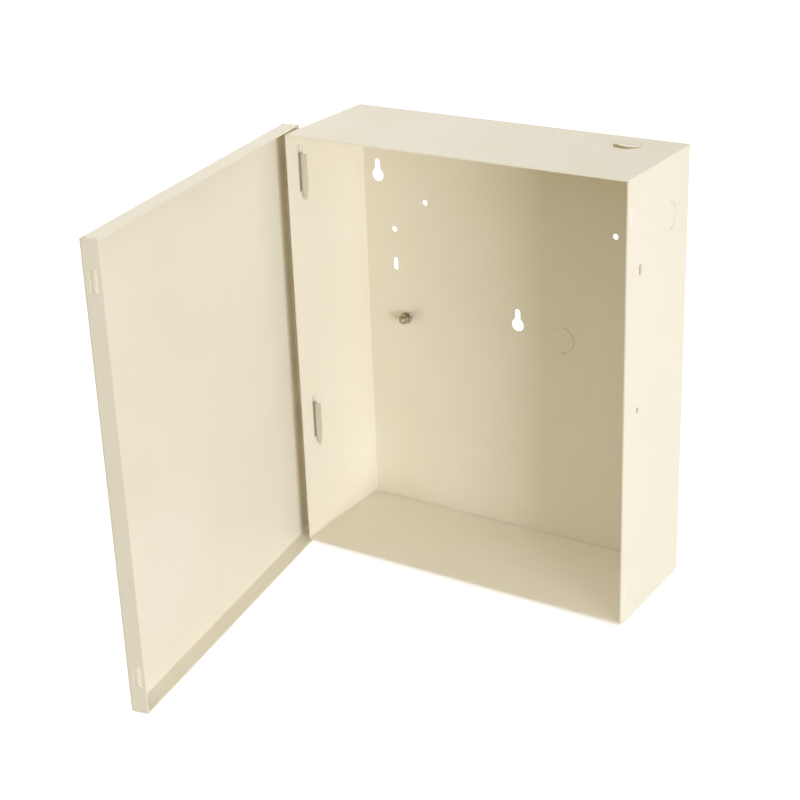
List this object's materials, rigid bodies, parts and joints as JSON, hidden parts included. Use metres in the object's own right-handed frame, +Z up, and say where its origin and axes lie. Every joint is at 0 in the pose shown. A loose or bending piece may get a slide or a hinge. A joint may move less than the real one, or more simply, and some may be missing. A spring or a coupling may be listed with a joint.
{
  "type": "equipment cabinet",
  "caption": "Empty surface-mounted sheet-steel cabinet with a lift-off tray door on hook hinges, keyholes, conduit knockouts and an earth terminal.",
  "frame": {"origin": "centre of the rear face of the box, in the plane of the wall that it hangs on", "axes": "+Y into the wall, +Z up, +X towards the door's free side; the door is at the front, towards -Y"},
  "size_m": [0.3222, 0.3966, 0.3743],
  "materials": {
    "ivory_paint": "satin powder coat",
    "zinc_plate": "zinc plated",
    "dark_zinc": "dull zinc plated",
    "tinned_brass": "tinned, dull"
  },
  "bodies": {
    "cabinet": {"cabinet_wrapper": "ivory_paint", "top_wall": "ivory_paint", "bottom_wall": "ivory_paint", "knockout_slug_top": "ivory_paint", "knockout_slug_side": "ivory_paint", "knockout_slug_back": "ivory_paint", "earth_stud": "zinc_plate", "earth_tooth_washer": "dark_zinc", "earth_blade_terminal": "tinned_brass", "earth_hex_nut": "dark_zinc"},
    "door": {"door_tray": "ivory_paint", "hinge_hook_upper": "ivory_paint", "hinge_hook_lower": "ivory_paint"}
  },
  "joints": [
    {"name": "door_hinge", "type": "hinge", "parent": "cabinet", "child": "door", "pos_m": [-0.1501, -0.0932, 0], "axis": [0, 0, -1], "range_deg": [-80, 5]}
  ]
}
